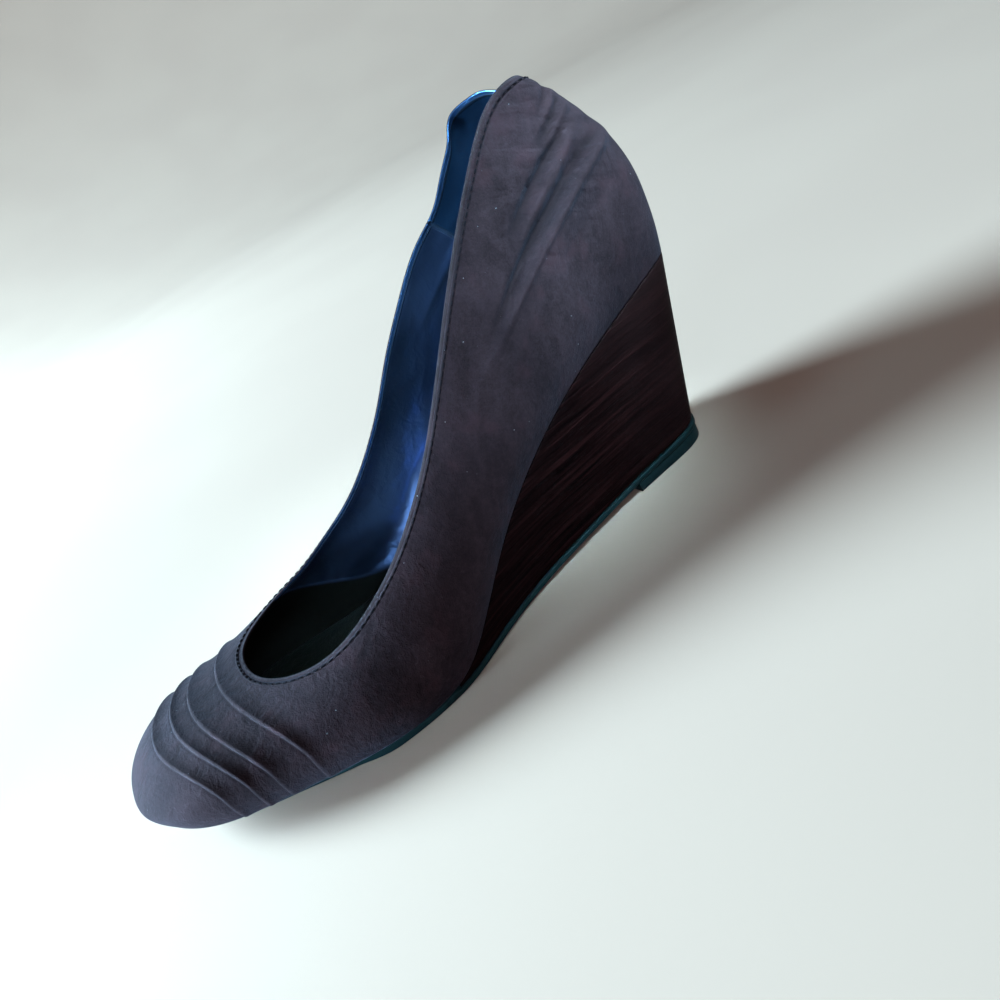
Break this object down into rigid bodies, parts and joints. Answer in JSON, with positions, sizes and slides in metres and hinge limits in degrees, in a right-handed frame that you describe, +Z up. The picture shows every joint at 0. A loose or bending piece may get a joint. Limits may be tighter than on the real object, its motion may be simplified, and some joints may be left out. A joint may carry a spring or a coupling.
{
  "type": "wedge shoe",
  "caption": "Left slip-on shoe with a low-cut oval opening, tucked round toe, wedge heel and thin flat sole.",
  "frame": {"origin": "centre of the bounding box at floor level", "axes": "+X from heel to toe, +Y to the outer side of this left shoe, +Z up"},
  "size_m": [0.2348, 0.0834, 0.1314],
  "materials": {
    "upper": "grey suede with a fine nap, smooth leather lining",
    "insole": "pewter metallic leather, soft sheen",
    "wedge": "dark red-brown stacked layers, satin",
    "outsole": "dark teal-black, satin",
    "top_lift": "dark teal-black, satin"
  },
  "bodies": {
    "root": {"upper": "upper", "insole": "insole", "wedge": "wedge", "outsole": "outsole", "top_lift": "top_lift"}
  },
  "joints": []
}
